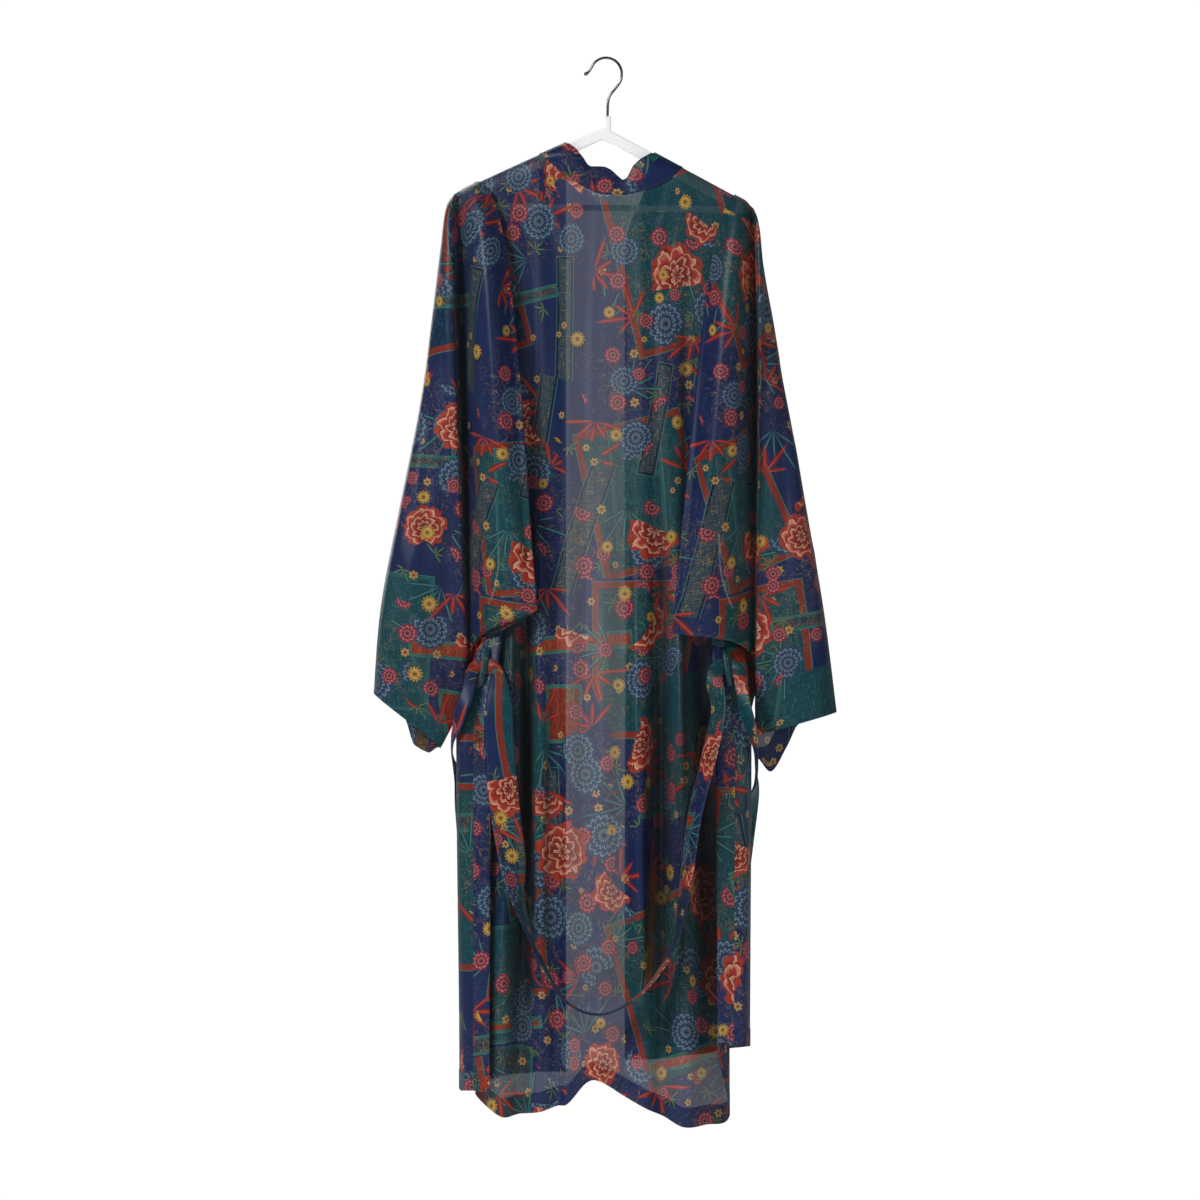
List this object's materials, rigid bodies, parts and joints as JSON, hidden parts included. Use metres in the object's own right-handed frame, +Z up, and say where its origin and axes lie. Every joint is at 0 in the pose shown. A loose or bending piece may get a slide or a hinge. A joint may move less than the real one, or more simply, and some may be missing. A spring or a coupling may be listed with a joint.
{
  "type": "kimono robe on a hanger",
  "caption": "Long kimono robe of thin printed cloth with wide sleeves, an open front with a band and a tie belt in its carriers, on a white hanger with a wire hook.",
  "frame": {"origin": "inside top of the hook, where a rod carries it", "axes": "+Z up, +Y to the robe's open front, +X to the right of someone who looks at the robe's back"},
  "size_m": [0.5912, 0.1472, 1.3605],
  "materials": {
    "cloth": "satin",
    "band": "satin",
    "plastic": "gloss",
    "chrome": "polished"
  },
  "bodies": {
    "root": {"back": "cloth", "front_left": "cloth", "front_right": "cloth", "sleeve_left": "cloth", "sleeve_right": "cloth", "collar_band": "band", "belt": "band", "belt_loop_left": "band", "belt_loop_right": "band", "hanger": "plastic", "hook": "chrome"}
  },
  "joints": []
}
